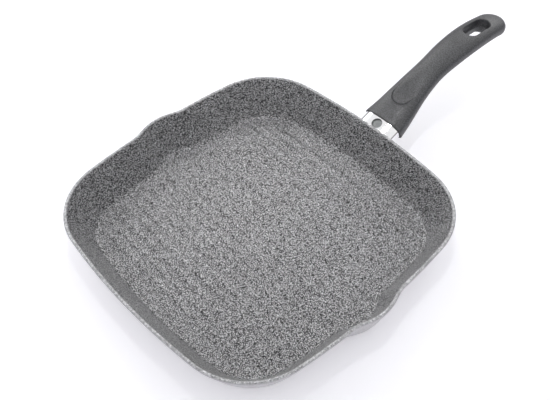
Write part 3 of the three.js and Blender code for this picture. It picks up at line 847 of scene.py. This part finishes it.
class Nodes:
    """Short way to add shader nodes to one material."""

    def __init__(self, name):
        self.material = bpy.data.materials.new(name)
        self.material.use_nodes = True
        self.tree = self.material.node_tree
        self.shader = self.tree.nodes["Principled BSDF"]
        self.place = self.add("ShaderNodeTexCoord").outputs["Object"]

    def add(self, kind, **settings):
        node = self.tree.nodes.new(kind)
        for key, value in settings.items():
            setattr(node, key, value)
        return node

    def link(self, output, socket):
        self.tree.links.new(output, socket)

    def noise(self, scale, detail):
        node = self.add("ShaderNodeTexNoise")
        self.link(self.place, node.inputs["Vector"])
        node.inputs["Scale"].default_value = scale
        node.inputs["Detail"].default_value = detail
        return node.outputs["Fac"]

    def uneven(self, scale, detail, low, high):
        """Noise between two greys or colours."""
        return self.ramp(self.noise(scale, detail), [(NOISE_LOW, low), (NOISE_HIGH, high)])

    def voronoi(self, scale):
        node = self.add("ShaderNodeTexVoronoi")
        self.link(self.place, node.inputs["Vector"])
        node.inputs["Scale"].default_value = scale
        return node

    def dots(self, scale):
        """Distance from the nearest point of an uneven grid: 0 on the points, about 0.5 on average."""
        return self.voronoi(scale).outputs["Distance"]

    def cells(self, scale):
        """Random grey value of each cell around the points of an uneven grid."""
        split = self.add("ShaderNodeSeparateColor")
        self.link(self.voronoi(scale).outputs["Color"], split.inputs["Color"])
        return split.outputs["Red"]

    def ramp(self, value, stops):
        node = self.add("ShaderNodeValToRGB")
        self.link(value, node.inputs["Fac"])
        elements = node.color_ramp.elements
        while len(elements) < len(stops):
            elements.new(1)
        for element, (place, grey) in zip(elements, stops):
            element.position = place
            colour = grey if isinstance(grey, tuple) else (grey, grey, grey)
            element.color = (*colour, 1)
        return node.outputs["Color"]

    def blend(self, mode, factor, first, second):
        node = self.add("ShaderNodeMix", data_type="RGBA", blend_type=mode)
        sockets = (node.inputs[0], node.inputs[6], node.inputs[7])
        for socket, value in zip(sockets, (factor, first, second)):
            if isinstance(value, bpy.types.NodeSocket):
                self.link(value, socket)
            else:
                socket.default_value = value
        return node.outputs[2]

    def bump(self, scale, distance):
        """Fine unevenness of the surface, `distance` metres high."""
        height = self.noise(scale, detail=2)
        node = self.add("ShaderNodeBump")
        self.link(height, node.inputs["Height"])
        node.inputs["Distance"].default_value = distance
        node.inputs["Strength"].default_value = BUMP_STRENGTH
        self.link(node.outputs["Normal"], self.shader.inputs["Normal"])

    def set(self, **values):
        """Constant values on the shader's own sockets, with _ for each space in a socket's name."""
        for key, value in values.items():
            self.shader.inputs[key.replace("_", " ")].default_value = value


def stone_coat():
    """Matt grey coat with fine black and white specks, a painted highlight along the rim's top, and plain
    on the outside.
    """
    look = Nodes("stone_coat")
    grains = look.dots(SPECK_SCALE)
    tones = look.ramp(grains, SPECK_TONES)
    odd = look.cells(ODD_SPECK_SCALE)
    darker = look.blend("MIX", look.ramp(odd, BLACK_ODDS), tones, BLACK_SPECK)
    speckled = look.blend("MIX", look.ramp(odd, WHITE_ODDS), darker, WHITE_SPECK)
    cloud = look.uneven(scale=28, detail=3, low=0.96, high=1.03)
    coloured = look.blend("MULTIPLY", 1.0, speckled, cloud)
    height = look.add("ShaderNodeSeparateXYZ")
    look.link(look.place, height.inputs[0])
    # Painted highlight: towards the rim's top the colour is mixed with a pale speckled tone that stands
    # in for the light the rim catches
    rim_highlight_mask = look.add("ShaderNodeMapRange", interpolation_type="SMOOTHSTEP")
    look.link(height.outputs["Z"], rim_highlight_mask.inputs["Value"])
    rim_highlight_mask.inputs["From Min"].default_value = (RIM_HEIGHT - RIM_HIGHLIGHT_START) * MM
    rim_highlight_mask.inputs["From Max"].default_value = (RIM_HEIGHT - RIM_HIGHLIGHT_FULL) * MM
    rim_highlight_mask.inputs["To Max"].default_value = RIM_HIGHLIGHT_SHARE
    painted_rim_highlight = look.ramp(look.cells(RIM_HIGHLIGHT_SCALE), RIM_HIGHLIGHT_TONES)
    with_rim_highlight = look.blend("MIX", rim_highlight_mask.outputs["Result"], coloured, painted_rim_highlight)
    outside = look.add("ShaderNodeAttribute", attribute_name="outside").outputs["Fac"]
    plain = look.uneven(scale=500, detail=4, low=(0.62, 0.6, 0.625), high=(0.68, 0.66, 0.685))
    look.link(look.blend("MIX", outside, with_rim_highlight, plain), look.shader.inputs["Base Color"])
    look.link(look.ramp(grains, COAT_ROUGHNESS), look.shader.inputs["Roughness"])
    look.bump(scale=1100, distance=0.00012)
    return look.material


def moulded_grip():
    """Charcoal moulding with a fine matt grain."""
    look = Nodes("moulded_grip")
    tone = look.uneven(scale=60, detail=4, low=(0.046, 0.047, 0.051), high=(0.06, 0.061, 0.066))
    grain = look.ramp(look.dots(GRAIN_SCALE), GRAIN_TONES)
    look.link(look.blend("MULTIPLY", 1.0, tone, grain), look.shader.inputs["Base Color"])
    roughness = look.uneven(scale=900, detail=2, low=0.38, high=0.48)
    look.link(roughness, look.shader.inputs["Roughness"])
    look.set(Specular_IOR_Level=0.8)
    look.bump(scale=1000, distance=0.0001)
    return look.material


def polished_steel():
    """Bright steel with a faintly uneven tone and polish."""
    look = Nodes("polished_steel")
    tone = look.uneven(scale=300, detail=3, low=(0.80, 0.80, 0.81), high=(0.88, 0.88, 0.89))
    look.link(tone, look.shader.inputs["Base Color"])
    roughness = look.uneven(scale=500, detail=3, low=0.08, high=0.16)
    look.link(roughness, look.shader.inputs["Roughness"])
    look.set(Metallic=1.0)
    return look.material


def dull_metal(name, dark, light, roughness):
    """Plain grey metal with uneven tone, for the rivet, the bracket and the fastening."""
    look = Nodes(name)
    tone = look.uneven(scale=700, detail=3, low=dark, high=light)
    look.link(tone, look.shader.inputs["Base Color"])
    rough = look.uneven(
        scale=1200, detail=2, low=roughness - METAL_UNEVENNESS, high=roughness + METAL_UNEVENNESS)
    look.link(rough, look.shader.inputs["Roughness"])
    look.set(Metallic=1.0)
    look.bump(scale=1600, distance=0.00003)
    return look.material


# Stage

def white_floor():
    """Plain floor that keeps its shadows and looks white to the camera, metal and glass."""
    corners = [(-1, -1), (1, -1), (1, 1), (-1, 1)]
    points = [(FLOOR_REACH * x, FLOOR_REACH * y, -FLOOR_DROP) for x, y in corners]
    floor = build_object("floor", points, [(0, 1, 2, 3)])
    material = bpy.data.materials.new("floor_white")
    material.use_nodes = True
    tree = material.node_tree
    shader = tree.nodes["Principled BSDF"]
    shader.inputs["Base Color"].default_value = FLOOR_COLOUR
    shader.inputs["Roughness"].default_value = FLOOR_ROUGHNESS
    shader.inputs["Specular IOR Level"].default_value = 0.0
    path = tree.nodes.new("ShaderNodeLightPath")
    seen = path.outputs["Is Camera Ray"]
    for ray in ("Is Glossy Ray", "Is Transmission Ray"):
        either = tree.nodes.new("ShaderNodeMath")
        either.operation = "MAXIMUM"
        tree.links.new(seen, either.inputs[0])
        tree.links.new(path.outputs[ray], either.inputs[1])
        seen = either.outputs[0]
    lift = tree.nodes.new("ShaderNodeMath")
    lift.operation = "MULTIPLY"
    lift.inputs[1].default_value = FLOOR_LIFT
    tree.links.new(seen, lift.inputs[0])
    shader.inputs["Emission Color"].default_value = FLOOR_LIFT_COLOUR
    tree.links.new(lift.outputs[0], shader.inputs["Emission Strength"])
    floor.data.materials.append(material)


def white_world():
    """White where it is seen, grey near the horizon in reflections, brightest overhead as a light."""
    world = bpy.data.worlds.new("studio")
    world.use_nodes = True
    tree = world.node_tree
    background = tree.nodes["Background"]
    path = tree.nodes.new("ShaderNodeLightPath")
    light = sky_ramp(tree, LIGHT_LOW, LIGHT_HIGH)
    reflected = sky_ramp(tree, REFLECTED_LOW, REFLECTED_HIGH)
    glossy = mix_colours(tree, path.outputs["Is Glossy Ray"], light, reflected)
    through = mix_colours(tree, path.outputs["Is Transmission Ray"], glossy, WHITE)
    seen = mix_colours(tree, path.outputs["Is Camera Ray"], through, WHITE)
    tree.links.new(seen, background.inputs["Color"])
    bpy.context.scene.world = world


def sky_ramp(tree, low, high):
    """Colour between two (height, colour) pairs. Heights go from 0 at the horizon to 1 overhead."""
    place = tree.nodes.new("ShaderNodeTexCoord")
    split = tree.nodes.new("ShaderNodeSeparateXYZ")
    tree.links.new(place.outputs["Generated"], split.inputs[0])
    ramp = tree.nodes.new("ShaderNodeValToRGB")
    tree.links.new(split.outputs["Z"], ramp.inputs["Fac"])
    for element, (height, colour) in zip(ramp.color_ramp.elements, (low, high)):
        element.position = height
        element.color = colour
    return ramp.outputs["Color"]


def mix_colours(tree, factor, first, second):
    node = tree.nodes.new("ShaderNodeMix")
    node.data_type = "RGBA"
    tree.links.new(factor, node.inputs[0])
    for socket, value in ((node.inputs[6], first), (node.inputs[7], second)):
        if isinstance(value, tuple):
            socket.default_value = value
        else:
            tree.links.new(value, socket)
    return node.outputs[2]


def soft_lamp(name, at, target, size, beam, power, colour):
    """Round lamp of `size` metres whose light spreads over `beam` degrees, with `power` in watts."""
    data = bpy.data.lights.new(name, "AREA")
    data.shape = "DISK"
    data.size = size
    data.spread = math.radians(beam)
    data.energy = power
    data.color = colour
    lamp = bpy.data.objects.new(name, data)
    lamp.location = at
    lamp.rotation_euler = (Vector(target) - Vector(at)).to_track_quat("-Z", "Y").to_euler()
    bpy.context.scene.collection.objects.link(lamp)


def photo_camera():
    """Camera at the photograph's place, set square from its forward and right directions."""
    data = bpy.data.cameras.new("photo_camera")
    data.sensor_width = SENSOR_WIDTH
    data.lens = FOCAL_PIXELS * SENSOR_WIDTH / IMAGE_WIDTH
    camera = bpy.data.objects.new("photo_camera", data)
    back = -CAMERA_FORWARD.normalized()
    right = (CAMERA_RIGHT - back * CAMERA_RIGHT.dot(back)).normalized()
    turned = Matrix((right, back.cross(right), back)).transposed().to_4x4()
    camera.matrix_world = Matrix.Translation(CAMERA_AT) @ turned
    bpy.context.scene.collection.objects.link(camera)
    bpy.context.scene.camera = camera


# Scene

bpy.context.scene.view_settings.view_transform = "Standard"
photo_camera()
white_floor()
white_world()
soft_lamp(
    "key", at=(0.55, 0.735, 0.91), target=(0.02, 0.02, 0),
    size=0.45, beam=ALL_ROUND, power=1.35, colour=LAMP_WARM)
soft_lamp(
    "back", at=(0.1, 1.3, 0.7), target=(0, 0, 0.02),
    size=0.7, beam=ALL_ROUND, power=4.0, colour=LAMP_WHITE)
soft_lamp(
    "side", at=(1.35, 0.35, 0.7), target=(0.25, 0, 0.05),
    size=0.7, beam=ALL_ROUND, power=2.5, colour=LAMP_WHITE)
soft_lamp(
    "top", at=(0.07, 0.05, 1.2), target=(0.035, 0.025, 0),
    size=0.2, beam=22, power=0.06, colour=LAMP_WHITE)

grey_rivet = dull_metal("rivet_grey", dark=(0.2, 0.21, 0.21), light=(0.25, 0.26, 0.26), roughness=0.55)
raw_aluminium = dull_metal("cast_aluminium", dark=0.36, light=0.42, roughness=0.45)
zinc_steel = dull_metal("zinc_steel", dark=0.42, light=0.5, roughness=0.35)

place_on_body(pan_mesh(), "pan_body", stone_coat())
place_on_body(grip_mesh(), "handle_grip", moulded_grip())
place_on_body(ferrule_mesh(), "ferrule", polished_steel())
place_on_body(rivet_mesh(), "ferrule_rivet", grey_rivet)
place_on_body(screw_mesh(), "handle_screw", zinc_steel)
for node, material in (
    ("handle_bracket", raw_aluminium), ("flat_washer", zinc_steel), ("spring_washer", zinc_steel),
):
    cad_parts[node].data.materials.clear()
    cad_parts[node].data.materials.append(material)
